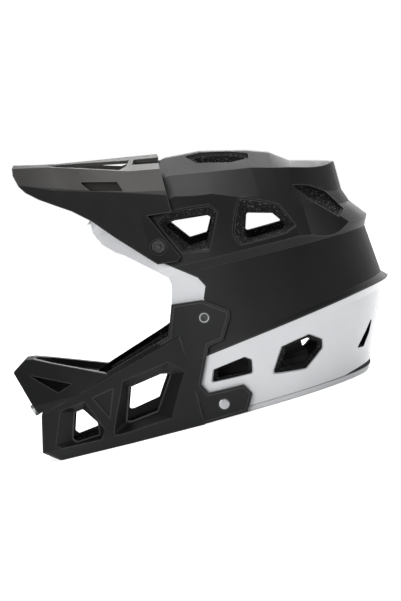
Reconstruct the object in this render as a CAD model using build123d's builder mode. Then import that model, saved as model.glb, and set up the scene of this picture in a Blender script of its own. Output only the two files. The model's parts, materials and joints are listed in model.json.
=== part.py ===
"""Full-face downhill bike helmet with a visor, stood on its base rim.

Millimetres, up is +Z, the face looks along -X, and the helmet's own left side is at -Y.
"""

import math
import os

from build123d import *

os.makedirs("parts", exist_ok=True)

# Main sizes. The length runs from the chin tip to the lip at the back of the shell.
helmet_length = 357.0
helmet_height = 240.0
shell_half_width = 109.0

# Walls and clearances.
shell_thickness = 2.6
liner_clearance = 0.3
fit_clearance = 0.3
zone_gap = 0.6
trim_height = 5.0
trim_width = 9.0
past = 20.0

# How round the plan outlines are, and where their widest point lies along them.
roundness_share = 0.86
widest_share = 0.55
outline_points = 24

# Plan outlines from the base up: front x, front z, back x, back z, half width.
# The x shares are of the length, z of the height and widths of the shell's half width.
belt_shares = [
    (0.248, 0.000, 0.884, 0.000, 0.925),
    (0.248, 0.060, 0.912, 0.086, 0.948),
    (0.248, 0.130, 0.950, 0.190, 0.980),
    (0.248, 0.185, 0.982, 0.298, 0.992),
    (0.248, 0.205, 0.999, 0.325, 1.000),
    (0.248, 0.228, 0.984, 0.348, 0.986),
    (0.248, 0.585, 0.976, 0.535, 0.935),
    (0.248, 0.612, 0.989, 0.572, 0.965),
    (0.254, 0.800, 0.955, 0.640, 0.880),
    (0.262, 0.980, 0.944, 0.690, 0.775),
    (0.275, 1.040, 0.945, 0.790, 0.660),
    (0.290, 1.180, 0.945, 1.100, 0.620),
]

# Cross sections of the top from the brow back: x, centre height, ridge height,
# ridge half width, then how far the band outside the ridge falls for each unit it runs out.
roof_shares = [
    (0.220, 0.740, 0.700, 0.36, 0.70),
    (0.301, 0.845, 0.810, 0.42, 0.72),
    (0.370, 0.920, 0.868, 0.48, 0.75),
    (0.450, 0.970, 0.915, 0.54, 0.80),
    (0.530, 0.992, 0.930, 0.57, 0.86),
    (0.621, 0.980, 0.905, 0.60, 1.00),
    (0.736, 0.934, 0.874, 0.59, 1.35),
    (0.790, 0.903, 0.850, 0.57, 1.62),
    (0.835, 0.850, 0.832, 0.55, 1.92),
    (0.905, 0.820, 0.797, 0.46, 2.60),
    (1.010, 0.770, 0.752, 0.36, 3.10),
]
crown_flat_share = 0.17
roof_reach_share = 1.25

# The head space, as egg outlines up the inside: height share, half length, half width.
head_centre_x_share = 0.125
head_shares = [
    (-0.040, 0.245, 0.690),
    (0.250, 0.266, 0.725),
    (0.520, 0.272, 0.745),
    (0.690, 0.255, 0.690),
    (0.810, 0.190, 0.520),
    (0.865, 0.105, 0.290),
]

# The face port, drawn in side view. Everything in front of it is open.
port_shares = [
    (-0.100, 0.832), (0.301, 0.832), (0.302, 0.800), (0.318, 0.751), (0.345, 0.710),
    (0.366, 0.690), (0.426, 0.612), (0.458, 0.567), (0.461, 0.539), (0.447, 0.469),
    (0.447, -0.100), (-0.100, -0.100),
]

# The pale brow and temple band, in side view.
brow_zone_shares = [
    (0.200, 1.200), (0.200, 0.380), (0.529, 0.380), (0.529, 0.457), (0.542, 0.500),
    (0.529, 0.538), (0.482, 0.594), (0.444, 0.640), (0.412, 0.700), (0.378, 0.780),
    (0.345, 0.850), (0.318, 0.900), (0.318, 1.200),
]

# The pale lower shell, in side view.
lower_zone_shares = [
    (0.300, -0.200), (1.200, -0.200), (1.200, 0.340), (0.976, 0.321), (0.925, 0.315),
    (0.835, 0.301), (0.704, 0.280), (0.574, 0.259), (0.501, 0.247), (0.300, 0.215),
]


def side_point(x_share, z_share):
    """A point in side view, from its shares of the length and the height."""
    return (x_share - 1 / 2) * helmet_length, z_share * helmet_height


def side_points(shares):
    return [side_point(x_share, z_share) for x_share, z_share in shares]


def outline_plane(front, back):
    """A tilted plane through the front and back points, and its stretch along the slope."""
    run = back[0] - front[0]
    slope = (back[1] - front[1]) / run
    middle_x = front[0] + run * widest_share
    middle_z = front[1] + run * widest_share * slope
    plane = Plane(origin=(middle_x, 0, middle_z), x_dir=(1, 0, slope), z_dir=(-slope, 0, 1))
    return plane, math.hypot(1, slope), middle_x


def egg_points(front_radius, back_radius, half_width, roundness):
    points = []
    for index in range(outline_points):
        angle = 2 * math.pi * index / outline_points
        along = math.copysign(abs(math.cos(angle)) ** roundness, math.cos(angle))
        across = math.copysign(abs(math.sin(angle)) ** roundness, math.sin(angle))
        radius = back_radius if along > 0 else front_radius
        points.append((radius * along, half_width * across))
    return points


def arc_outline(points):
    """Draws a closed outline as arcs, the first one centred on the outline's first point."""
    count = len(points)
    for index in range(0, count, 2):
        ThreePointArc(points[index - 1], points[index], points[index + 1])


def walls(inset):
    """The side walls of the shell, moved in by the inset."""
    with BuildPart() as wall:
        for index, (front_x, front_z, back_x, back_z, width) in enumerate(belt_shares):
            front = side_point(front_x, front_z)
            back = side_point(back_x, back_z)
            if index == 0 and inset:
                front = (front[0], -past)
                back = (back[0], -past)
            plane, stretch, middle_x = outline_plane(front, back)
            back_radius = (back[0] - inset - middle_x) * stretch
            front_radius = (middle_x - front[0] - inset) * stretch
            half_width = width * shell_half_width - inset
            points = egg_points(front_radius, back_radius, half_width, roundness_share)
            with BuildSketch(plane):
                with BuildLine():
                    arc_outline(points)
                make_face()
        loft(ruled=True)
    return wall.part


def roof(inset):
    """The space under the top of the shell, moved in by the inset."""
    with BuildPart() as top:
        for x_share, centre, ridge, ridge_width, fall in roof_shares:
            x, centre_z = side_point(x_share, centre)
            centre_z = centre_z - inset
            ridge_z = ridge * helmet_height - inset * math.hypot(1, fall) / 2 - inset / 2
            flat = crown_flat_share * shell_half_width
            ridge_y = ridge_width * shell_half_width
            reach = roof_reach_share * shell_half_width
            reach_z = ridge_z - fall * (reach - ridge_y)
            half = [(flat, centre_z), (ridge_y, ridge_z), (reach, reach_z), (reach, -helmet_height)]
            other = [(-y, z) for y, z in reversed(half)]
            with BuildSketch(Plane(origin=(x, 0, 0), x_dir=(0, 1, 0), z_dir=(1, 0, 0))):
                with BuildLine():
                    Polyline(*half, *other, close=True)
                make_face()
        loft(ruled=True)
    return top.part


def side_prism(points, half_depth):
    """A side-view outline pushed out to both sides."""
    with BuildPart() as prism:
        with BuildSketch(Plane.XZ):
            with BuildLine():
                Polyline(*points, close=True)
            make_face()
        extrude(amount=half_depth, both=True)
    return prism.part


def body(inset):
    """The whole helmet form as one solid, moved in by the inset."""
    with BuildPart() as form:
        add(walls(inset))
        add(roof(inset), mode=Mode.INTERSECT)
    return form.part


def save(piece, label):
    piece.part.label = label
    export_step(piece.part, f"parts/{label}.step")


# Vents, in side view. Where a vent's floor has an outline of its own, it follows the mouth's.
window_front_shares = [
    (0.470, 0.775), (0.505, 0.800), (0.606, 0.790), (0.624, 0.755), (0.576, 0.622), (0.508, 0.640),
]
window_front_floor_shares = [
    (0.480, 0.762), (0.510, 0.768), (0.600, 0.752), (0.610, 0.735), (0.580, 0.656), (0.530, 0.655),
]
window_back_shares = [
    (0.643, 0.655), (0.687, 0.766), (0.777, 0.717), (0.811, 0.620), (0.775, 0.605), (0.650, 0.608),
]
window_back_floor_shares = [
    (0.670, 0.640), (0.690, 0.722), (0.757, 0.692), (0.785, 0.632), (0.772, 0.620), (0.678, 0.620),
]
vent_upper_shares = [
    (0.820, 0.770), (0.866, 0.744), (0.901, 0.706), (0.938, 0.620), (0.914, 0.604), (0.850, 0.706),
]
slit_shares = [
    (0.937, 0.224), (0.910, 0.146), (0.882, 0.095), (0.862, 0.100), (0.902, 0.162),
]
vent_lower_front_shares = [
    (0.487, 0.144), (0.501, 0.191), (0.588, 0.206), (0.605, 0.188), (0.597, 0.137),
]
vent_lower_back_shares = [
    (0.640, 0.112), (0.681, 0.206), (0.760, 0.221), (0.791, 0.186), (0.784, 0.152), (0.728, 0.098),
]
# The top vent, in plan: x share of the length and y share of the half width.
vent_top_shares = [
    (0.575, 0.20), (0.600, 0.40), (0.690, 0.44), (0.742, 0.36), (0.742, 0.22), (0.690, 0.16),
]
vent_inner_share = 0.80
vent_outer_depth_share = 1.15
vent_inner_depth_share = 0.30
corner_share = 0.010
funnel_rise = 6.0
funnel_depth = 9.0
pale_floor_share = 0.78
throat_share = 0.93
upper_floor_share = 0.84
upper_vent_depth = 5.0


def shrink(points, share):
    """The points pulled toward their middle."""
    middle_x = sum(point[0] for point in points) / len(points)
    middle_y = sum(point[1] for point in points) / len(points)
    pulled = []
    for x, y in points:
        pulled.append((middle_x + (x - middle_x) * share, middle_y + (y - middle_y) * share))
    return pulled


def tapered_hole(points, outer_plane, inner_plane, inner_share, corner):
    """A hole that narrows from one plane to the other, with rounded corners."""
    with BuildPart() as hole:
        with BuildSketch(outer_plane):
            with BuildLine():
                FilletPolyline(*points, radius=corner, close=True)
            make_face()
        with BuildSketch(inner_plane):
            with BuildLine():
                FilletPolyline(*shrink(points, inner_share), radius=corner * inner_share, close=True)
            make_face()
        loft(ruled=True)
    return hole.part


def side_hole(shares, inner_share, outer_depth, inner_depth, corner):
    """A hole seen in side view on the helmet's left, narrowing inwards."""
    outer_plane = Plane(origin=(0, -outer_depth, 0), x_dir=(1, 0, 0), z_dir=(0, -1, 0))
    inner_plane = Plane(origin=(0, -inner_depth, 0), x_dir=(1, 0, 0), z_dir=(0, -1, 0))
    return tapered_hole(side_points(shares), outer_plane, inner_plane, inner_share, corner)


def both_sides(shape):
    return [shape, mirror(shape, about=Plane.XZ)]


def reach_at(shape, x_share, z_share):
    """How far out the shape's side lies at a point given in side view."""
    x, z = side_point(x_share, z_share)
    rod = Pos(x, 0, z) * Box(fit_clearance, 4 * shell_half_width, fit_clearance)
    return (shape & rod).bounding_box().max.Y


def facing_plane(shape, shares):
    """The plane that lies on the shape's left side under an outline seen in side view."""
    spots = []
    for index in (0, len(shares) // 3, 2 * len(shares) // 3):
        x, z = side_point(*shares[index])
        spots.append(Vector(x, -reach_at(shape, *shares[index]), z))
    normal = (spots[1] - spots[0]).cross(spots[2] - spots[0]).normalized()
    if normal.Y > 0:
        normal = -normal
    return Plane(origin=spots[0], x_dir=spots[1] - spots[0], z_dir=normal)


def on_plane(plane, x, z):
    """The spot on a plane that a side view shows at a point, in the plane's own axes."""
    normal = plane.z_dir
    start = plane.origin
    y = start.Y - (normal.X * (x - start.X) + normal.Z * (z - start.Z)) / normal.Y
    spot = plane.to_local_coords(Vector(x, y, z))
    return spot.X, spot.Y


def funnel(shape, shares, floor_shares, depth, corner):
    """A bevelled mouth, from an outline on the shape's left side in to its floor outline."""
    mouth_plane = facing_plane(shape, shares)
    pairs = list(zip(side_points(shares), side_points(floor_shares)))
    with BuildPart() as mouth:
        for level in (funnel_rise, -depth):
            plane = mouth_plane.offset(level)
            grow = level / depth
            points = []
            for (x, z), (floor_x, floor_z) in pairs:
                points.append(on_plane(plane, x + (x - floor_x) * grow, z + (z - floor_z) * grow))
            with BuildSketch(plane):
                with BuildLine():
                    FilletPolyline(*points, radius=corner, close=True)
                make_face()
        loft(ruled=True)
    return mouth.part


def throat(floor_shares, end_depth, corner):
    """A straight way in through a funnel's floor, as deep as the given half width."""
    way_points = side_points(shrink(floor_shares, throat_share))
    with BuildPart() as way:
        with BuildSketch(Plane(origin=(0, -outer_depth, 0), x_dir=(1, 0, 0), z_dir=(0, -1, 0))):
            with BuildLine():
                FilletPolyline(*way_points, radius=corner, close=True)
            make_face()
        extrude(amount=end_depth - outer_depth)
    return way.part


outer_depth = vent_outer_depth_share * shell_half_width
inner_depth = vent_inner_depth_share * shell_half_width
corner = corner_share * helmet_length
top_points = [((x - 1 / 2) * helmet_length, -y * shell_half_width) for x, y in vent_top_shares]
top_hole = tapered_hole(
    top_points,
    Plane.XY.offset(helmet_height + past),
    Plane.XY.offset(helmet_height / 2 + past),
    vent_inner_share,
    corner / 2,
)
body_outer = body(0.0)
vents = (
    (window_front_shares, window_front_floor_shares),
    (window_back_shares, window_back_floor_shares),
    (vent_lower_front_shares, shrink(vent_lower_front_shares, pale_floor_share)),
    (vent_lower_back_shares, shrink(vent_lower_back_shares, pale_floor_share)),
)
upper_floor_shares = shrink(vent_upper_shares, upper_floor_share)
mouths = [funnel(body_outer, vent_upper_shares, upper_floor_shares, upper_vent_depth, corner / 4)]
throats = []
for shares, floor_shares in vents:
    mouths.append(funnel(body_outer, shares, floor_shares, funnel_depth, corner / 2))
    throats.append(throat(floor_shares, inner_depth, corner / 2))
slit = side_hole(slit_shares, vent_inner_share, outer_depth, inner_depth, corner / 4)
shell_holes = [top_hole, slit, *mouths]

port = side_prism(side_points(port_shares), 2 * shell_half_width)
above_trim = Pos(0, 0, trim_height + fit_clearance) * Box(
    2 * helmet_length, 4 * shell_half_width, 2 * helmet_height,
    align=(Align.CENTER, Align.CENTER, Align.MIN),
)
body_inner = body(shell_thickness)
with BuildPart() as skin:
    add(body_outer)
    add(body_inner, mode=Mode.SUBTRACT)
    add(port, mode=Mode.SUBTRACT)
    add(above_trim, mode=Mode.INTERSECT)
    for hole in shell_holes:
        for side in both_sides(hole):
            add(side, mode=Mode.SUBTRACT)

brow_points = side_points(brow_zone_shares)
lower_points = side_points(lower_zone_shares)
brow_zone = side_prism(brow_points, 2 * shell_half_width)
lower_zone = side_prism(lower_points, 2 * shell_half_width)


def grown(points, gap):
    """A side-view outline grown by the gap, so the pieces on either side stay apart."""
    with BuildPart() as prism:
        with BuildSketch(Plane.XZ):
            with BuildLine():
                Polyline(*points, close=True)
            make_face()
            offset(amount=gap, kind=Kind.INTERSECTION)
        extrude(amount=2 * shell_half_width, both=True)
    return prism.part


brow_zone_grown = grown(brow_points, zone_gap)
lower_zone_grown = grown(lower_points, zone_gap)

# Foam core: it fills the skin up to the head space.
screw_bore_radius = 3.4


def head_form(inset):
    """The head space moved in by the inset."""
    with BuildPart() as space:
        middle_x = head_centre_x_share * helmet_length
        for z_share, length_share, width_share in head_shares:
            radius = length_share * helmet_length - inset
            half_width = width_share * shell_half_width - inset
            points = egg_points(radius, radius, half_width, 1)
            level_z = z_share * helmet_height - (inset if z_share > 1 / 4 else 0)
            with BuildSketch(Plane.XY.offset(level_z)):
                with BuildLine():
                    arc_outline([(x + middle_x, y) for x, y in points])
                make_face()
        loft(ruled=True)
    return space.part


def cross_bore(x_share, z_share, radius, inner, outer):
    """A round bore across the helmet on both sides, between two half widths."""
    x, z = side_point(x_share, z_share)
    with BuildPart() as bore:
        for side in (-1, 1):
            with BuildSketch(Plane(origin=(x, side * inner, z), x_dir=(1, 0, 0), z_dir=(0, side, 0))):
                Circle(radius)
            extrude(amount=outer - inner)
    return bore.part


head = head_form(0.0)
liner_outer = body(shell_thickness + liner_clearance)

# Fixing points, in side view.
visor_pivot_share = (0.456, 0.689)
chin_screw_share = (0.517, 0.389)
chin_stud_share = (0.505, 0.056)
screw_depth = 14.0
screw_shank_radius = 2.5
star_radius = 6.4
star_height = 4.0
star_points = 6
star_notch_radius = 1.5
star_notch_reach_share = 1.08
chin_head_radius = 4.7
chin_head_height = 2.6
hex_across = 5.0
hex_depth = 1.6
stud_radius = 4.8
stud_height = 1.8
head_sink = 1.2
bracket_gap = 0.5
bracket_thickness = 3.2
bracket_step = 0.8
bracket_step_width = 2.3
plate_reach = bracket_gap + bracket_thickness + bracket_step


def side_bores(radius):
    bores = []
    for x_share, z_share in (visor_pivot_share, chin_screw_share, chin_stud_share):
        reach = reach_at(body_outer, x_share, z_share)
        bores.append(cross_bore(x_share, z_share, radius, reach - screw_depth, reach + past))
    return bores


bores = side_bores(screw_shank_radius + fit_clearance)
liner_bores = side_bores(screw_bore_radius)

# The rim under the skin and the foam, on which the helmet stands.
rim_slab = Pos(0, 0, -past) * Box(
    2 * helmet_length, 4 * shell_half_width, past + trim_height,
    align=(Align.CENTER, Align.CENTER, Align.MIN),
)
with BuildPart() as base_trim:
    add(body_outer)
    add(body(trim_width), mode=Mode.SUBTRACT)
    add(port, mode=Mode.SUBTRACT)
    add(rim_slab, mode=Mode.INTERSECT)
save(base_trim, "base_trim")

# Chin bar: plan outlines from the base up, each as front x, middle x, back x,
# then front, middle and back half widths, and the heights at the front and at the back.
chin_belt_shares = [
    (0.057, 0.255, 0.470, 0.395, 0.720, 0.955, 0.000, 0.000),
    (0.018, 0.235, 0.470, 0.375, 0.700, 0.970, 0.045, 0.050),
    (0.043, 0.217, 0.470, 0.385, 0.636, 0.966, 0.186, 0.354),
    (0.052, 0.221, 0.470, 0.360, 0.598, 0.932, 0.204, 0.377),
]
beak_belt_shares = [
    (0.045, 0.150, 0.245, 0.385, 0.540, 0.665, 0.150, 0.150),
    (0.028, 0.140, 0.245, 0.340, 0.530, 0.665, 0.226, 0.226),
    (0.000, 0.100, 0.245, 0.130, 0.370, 0.630, 0.365, 0.365),
    (0.020, 0.100, 0.245, 0.060, 0.340, 0.620, 0.430, 0.430),
]
beak_profile_shares = [
    (-0.030, 0.200), (-0.030, 0.361), (0.000, 0.364), (0.042, 0.402), (0.062, 0.396),
    (0.240, 0.276), (0.240, 0.205), (0.200, 0.190),
]
# The tray sunk in the top of the beak, in plan, left half.
tray_plan_shares = [(0.064, 0.00), (0.066, 0.10), (0.105, 0.285), (0.275, 0.60), (0.275, 0.00)]
tray_floor_share = 0.22
tray_depth = 7.0
chin_thickness = 4.0
chin_back_share = 0.444
chin_corner = 9.0
chin_liner_thickness = 13.0
beak_rib_thickness = 3.0


def chin_form(belts, inset, corner):
    """The U of the chin bar filled solid, moved in by the inset."""
    with BuildPart() as form:
        for index, (x1, x2, x3, y1, y2, y3, front_z, back_z) in enumerate(belts):
            front = side_point(x1, front_z)
            back = side_point(x3, back_z)
            if index == 0 and inset:
                front = (front[0], front[1] - past)
                back = (back[0], back[1] - past)
            plane, stretch, middle_x = outline_plane(front, back)
            half = []
            for x_share, y_share in ((x1, y1), (x2, y2), (x3, y3)):
                x = side_point(x_share, 0)[0] + (inset if x_share == x1 else 0)
                half.append(((x - middle_x) * stretch, y_share * shell_half_width - inset))
            other = [(x, -y) for x, y in reversed(half)]
            with BuildSketch(plane) as level:
                with BuildLine():
                    Polyline(*half, *other, close=True)
                make_face()
                fillet(level.vertices().group_by(Axis.X)[0], corner)
        loft(ruled=True)
    return form.part


behind_chin = Pos(side_point(chin_back_share, 0)[0], 0, 0) * Box(
    helmet_length, 4 * shell_half_width, 4 * helmet_height,
    align=(Align.MIN, Align.CENTER, Align.CENTER),
)
below_floor = Box(
    4 * helmet_length, 4 * shell_half_width, helmet_height,
    align=(Align.CENTER, Align.CENTER, Align.MAX),
)

bracket_shares = [
    (0.385, 0.000), (0.385, 0.341), (0.416, 0.356), (0.446, 0.468), (0.524, 0.454), (0.581, 0.391),
    (0.581, 0.371), (0.547, 0.290), (0.508, 0.282), (0.463, 0.149), (0.475, 0.112),
    (0.566, 0.107), (0.581, 0.066), (0.575, 0.049), (0.556, 0.004),
]

chin_vent_front_shares = [
    (0.058, 0.062), (0.093, 0.184), (0.162, 0.197), (0.194, 0.075), (0.179, 0.043), (0.071, 0.046),
]
chin_floor_front_shares = [
    (0.102, 0.066), (0.126, 0.166), (0.152, 0.172), (0.181, 0.106), (0.177, 0.056), (0.110, 0.050),
]
chin_vent_back_shares = [
    (0.211, 0.049), (0.270, 0.241), (0.401, 0.263), (0.431, 0.215), (0.367, 0.055), (0.220, 0.044),
]
chin_floor_back_shares = [
    (0.249, 0.078), (0.282, 0.208), (0.375, 0.229), (0.401, 0.221), (0.338, 0.088), (0.262, 0.074),
]
collar_depth = 12.0
collar_share = 1.06
chin_funnel_depth = 9.5
chin_inset_shares = [(0.185, 0.203), (0.243, 0.219), (0.214, 0.112)]
beak_slot_shares = [(0.028, 0.352), (0.150, 0.270), (0.104, 0.248)]
chin_inset_depth = 1.2
mouth_width_share = 0.50
mouth_bottom_share = 0.075
mouth_top_share = 0.185

mouth_x, mouth_z = side_point(0.0, (mouth_bottom_share + mouth_top_share) / 2)
mouth_height = (mouth_top_share - mouth_bottom_share) * helmet_height
mouth_width = mouth_width_share * shell_half_width
with BuildPart() as mouth_hole:
    with BuildSketch(Plane(origin=(mouth_x - past, 0, mouth_z), x_dir=(0, -1, 0), z_dir=(-1, 0, 0))):
        RectangleRounded(mouth_width, mouth_height, corner)
    extrude(amount=-helmet_length / 4)

chin_outer = chin_form(chin_belt_shares, 0.0, chin_corner)
chin_inner = chin_form(chin_belt_shares, chin_thickness, chin_corner - chin_thickness)
chin_deep = chin_form(chin_belt_shares, collar_depth, fit_clearance)
chin_vents = (
    (chin_vent_front_shares, chin_floor_front_shares),
    (chin_vent_back_shares, chin_floor_back_shares),
)
beak_slot = side_hole(
    beak_slot_shares, vent_inner_share, outer_depth, 2 * beak_rib_thickness, corner / 8
)
chin_holes = [beak_slot]
collar_prisms = []
collar_zones = []
for shares, floor_shares in chin_vents:
    chin_holes.append(funnel(chin_outer, shares, floor_shares, chin_funnel_depth, corner / 2))
    chin_holes.append(throat(floor_shares, 0.0, corner / 2))
    collar_points = side_points(shrink(shares, collar_share))
    collar_prisms.append(side_prism(collar_points, 2 * shell_half_width))
    collar_zones.append(grown(collar_points, liner_clearance))

# Thick walls round the chin vents, so that their bevels run deep.
with BuildPart() as collars:
    for prism in collar_prisms:
        add(prism)
    add(chin_outer, mode=Mode.INTERSECT)
    add(chin_deep, mode=Mode.SUBTRACT)

beak_outer = chin_form(beak_belt_shares, 0.0, chin_corner / 3)
beak_inner = chin_form(beak_belt_shares, chin_thickness, chin_corner / 4)
beak_points = side_points(beak_profile_shares)
beak_prism = side_prism(beak_points, 2 * shell_half_width)
beak_hollow = Pos(chin_thickness, 0, -chin_thickness - tray_depth) * beak_prism

with BuildPart() as beak_core:
    add(beak_inner)
    add(beak_hollow, mode=Mode.INTERSECT)

with BuildPart() as beak:
    add(beak_outer)
    add(beak_prism, mode=Mode.INTERSECT)

# The tray follows the slope of the beak's top and is open to the back.
tray_points = [((x - 1 / 2) * helmet_length, y * shell_half_width) for x, y in tray_plan_shares]
with BuildPart() as tray:
    with BuildSketch(Plane.XY.offset(tray_floor_share * helmet_height)):
        with BuildLine():
            Polyline(*tray_points, close=True)
        make_face()
        mirror(about=Plane.XZ)
    extrude(amount=helmet_height)
    add(Pos(0, 0, -tray_depth) * beak_prism, mode=Mode.SUBTRACT)

# A rib along the middle of the hollow beak, which closes the view between its two slots.
with BuildPart() as beak_rib:
    add(beak_outer)
    add(side_prism(beak_points, beak_rib_thickness / 2), mode=Mode.INTERSECT)

plate_outer = body(-bracket_gap - bracket_thickness)
plate_raised = body(-plate_reach)
plate_inner = body(-bracket_gap)
bracket_points = side_points(bracket_shares)
with BuildPart() as bracket_middle:
    add(plate_raised)
    add(grown(bracket_points, -bracket_step_width), mode=Mode.INTERSECT)

with BuildPart() as bracket:
    add(plate_outer)
    add(side_prism(bracket_points, 2 * shell_half_width), mode=Mode.INTERSECT)
    add(bracket_middle.part)
    add(plate_inner, mode=Mode.SUBTRACT)
    add(below_floor, mode=Mode.SUBTRACT)

# The shallow three-cornered recess between the two chin vents.
with BuildPart() as chin_inset:
    add(side_prism(side_points(chin_inset_shares), 2 * shell_half_width))
    add(chin_form(chin_belt_shares, chin_inset_depth, chin_corner - chin_inset_depth),
        mode=Mode.SUBTRACT)

seats = []
for shares, radius in ((chin_screw_share, chin_head_radius), (chin_stud_share, stud_radius)):
    seat = reach_at(body_outer, *shares) + plate_reach - head_sink
    seats.append(cross_bore(*shares, radius + fit_clearance, seat, seat + past))

with BuildPart() as chin_bar:
    add(chin_outer)
    add(behind_chin, mode=Mode.SUBTRACT)
    add(beak.part)
    add(chin_inner, mode=Mode.SUBTRACT)
    add(beak_core.part, mode=Mode.SUBTRACT)
    add(bracket.part)
    add(collars.part)
    add(beak_rib.part)
    add(tray.part, mode=Mode.SUBTRACT)
    add(mouth_hole.part, mode=Mode.SUBTRACT)
    add(chin_inset.part, mode=Mode.SUBTRACT)
    for hole in chin_holes:
        for side in both_sides(hole):
            add(side, mode=Mode.SUBTRACT)
    for bore in bores + seats:
        add(bore, mode=Mode.SUBTRACT)
save(chin_bar, "chin_bar")

slit_floor_shares = shrink(slit_shares, vent_inner_share)
liner_slit = side_hole(slit_floor_shares, vent_inner_share, outer_depth, 0.0, corner / 8)
liner_holes = [liner_slit, *mouths, *throats]
liner_holes.append(tapered_hole(
    shrink(top_points, vent_inner_share),
    Plane.XY.offset(helmet_height + past),
    Plane.XY.offset(helmet_height / 2 + past),
    vent_inner_share,
    corner / 4,
))
with BuildPart() as eps_liner:
    add(liner_outer)
    add(head, mode=Mode.SUBTRACT)
    add(port, mode=Mode.SUBTRACT)
    add(above_trim, mode=Mode.INTERSECT)
    for hole in liner_holes:
        for side in both_sides(hole):
            add(side, mode=Mode.SUBTRACT)
    for bore in liner_bores:
        add(bore, mode=Mode.SUBTRACT)
save(eps_liner, "eps_liner")

# Foam behind the chin bar, clear of the wall and of the main foam core.
chin_liner_bottom = 6.0
chin_liner_top_share = 0.93
with BuildPart() as chin_liner:
    add(chin_form(
        [tuple([*row[:6], row[6] * chin_liner_top_share, row[7] * chin_liner_top_share])
         for row in chin_belt_shares],
        chin_thickness + liner_clearance,
        chin_corner - chin_thickness,
    ))
    add(chin_form(chin_belt_shares, chin_thickness + chin_liner_thickness, fit_clearance),
        mode=Mode.SUBTRACT)
    add(behind_chin, mode=Mode.SUBTRACT)
    add(Pos(0, 0, chin_liner_bottom) * below_floor, mode=Mode.SUBTRACT)
    add(mouth_hole.part, mode=Mode.SUBTRACT)
    add(Pos(0, 0, -liner_clearance) * beak_prism, mode=Mode.SUBTRACT)
    add(bracket.part, mode=Mode.SUBTRACT)
    for zone in collar_zones:
        add(zone, mode=Mode.SUBTRACT)
save(chin_liner, "chin_liner")

# Visor: cross sections from the tip back. Each is x, centre height, then the half width and
# the height of the wing's top edge, of the fold below its band, and of its lower rim.
visor_shares = [
    (0.110, 1.142, 0.26, 1.132, 0.36, 1.080, 0.66, 0.900),
    (0.237, 1.092, 0.44, 1.088, 0.62, 1.000, 0.88, 0.760),
    (0.316, 1.070, 0.55, 1.050, 0.70, 0.962, 0.94, 0.700),
    (0.433, 1.038, 0.61, 0.990, 0.77, 0.912, 0.98, 0.640),
    (0.513, 1.016, 0.64, 0.966, 0.80, 0.884, 0.99, 0.560),
]
visor_outline_shares = [
    (0.140, 1.160), (0.148, 1.125), (0.145, 1.091), (0.153, 1.047), (0.166, 1.018),
    (0.195, 0.980), (0.269, 0.905), (0.311, 0.849), (0.357, 0.767), (0.442, 0.629),
    (0.492, 0.618), (0.503, 0.632), (0.450, 0.812), (0.512, 0.800), (0.5125, 1.060),
]
visor_thickness = 3.0
visor_gap = 1.5
visor_lower_limit = 10.0
arm_shares = [
    (0.400, 0.760), (0.398, 0.700), (0.442, 0.629), (0.492, 0.618), (0.503, 0.632), (0.452, 0.800),
]


def visor_form(inset):
    """The visor's bent sheet, filled solid below, moved in by the inset."""
    with BuildPart() as form:
        for row in visor_shares:
            x, centre_z = side_point(row[0], row[1])
            half = [(0.0, centre_z - inset)]
            for y_share, z_share in (row[2:4], row[4:6], row[6:8]):
                half.append((y_share * shell_half_width - inset / 2, z_share * helmet_height - inset))
            half[-1] = (half[-1][0] - inset / 2, half[-1][1])
            half.append((half[-1][0], -helmet_height))
            other = [(-y, z) for y, z in reversed(half[1:])]
            with BuildSketch(Plane(origin=(x, 0, 0), x_dir=(0, 1, 0), z_dir=(1, 0, 0))):
                with BuildLine():
                    Polyline(*half, *other, close=True)
                make_face()
        loft(ruled=True)
    return form.part


# The openings between the spine and the wings, in plan, and the slot in each band.
gap_plan_shares = [
    (0.232, 0.17), (0.260, 0.42), (0.340, 0.53), (0.412, 0.56), (0.430, 0.40), (0.440, 0.15),
    (0.330, 0.14),
]
tail_plan_shares = [(0.452, 0.15), (0.445, 0.36), (0.530, 0.40), (0.530, 0.15)]
band_slot_shares = [(0.304, 1.004), (0.402, 0.964), (0.411, 0.922), (0.327, 0.958)]
slot_inner_share = 0.90
slot_depth = 6.0
slot_wall = 2.0

pivot_x, pivot_z = side_point(*visor_pivot_share)


def about_pivot(shape, angle):
    """The shape turned about the visor's hinge line, nose down for a positive angle."""
    return Pos(pivot_x, 0, pivot_z) * Rot(0, -angle, 0) * Pos(-pivot_x, 0, -pivot_z) * shape


def plan_prism(shares):
    points = [((x - 1 / 2) * helmet_length, y * shell_half_width) for x, y in shares]
    with BuildPart() as prism:
        with BuildSketch(Plane.XY.offset(helmet_height / 2)):
            with BuildLine():
                Polyline(*points, close=True)
            make_face()
        extrude(amount=helmet_height)
    return prism.part


clear_body = body(-visor_gap)
arm_body = body(-visor_gap - visor_thickness)
arm_prism = side_prism(side_points(arm_shares), 2 * shell_half_width)
arm_reach = reach_at(arm_body, *visor_pivot_share)
visor_seat = cross_bore(
    *visor_pivot_share, star_radius + 2 * fit_clearance, arm_reach - fit_clearance, arm_reach + past
)
with BuildPart() as visor_arms:
    add(arm_body)
    add(arm_prism, mode=Mode.INTERSECT)

# Each band slot ends in a shallow cup, so that light doesn't pass through it.
with BuildPart() as slot_cups:
    add(visor_form(0.0))
    add(visor_form(slot_depth + slot_wall), mode=Mode.SUBTRACT)
    add(grown(side_points(band_slot_shares), slot_wall), mode=Mode.INTERSECT)

with BuildPart() as band_slot:
    add(side_hole(band_slot_shares, slot_inner_share, outer_depth, inner_depth, corner / 4))
    add(visor_form(slot_depth), mode=Mode.SUBTRACT)

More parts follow.
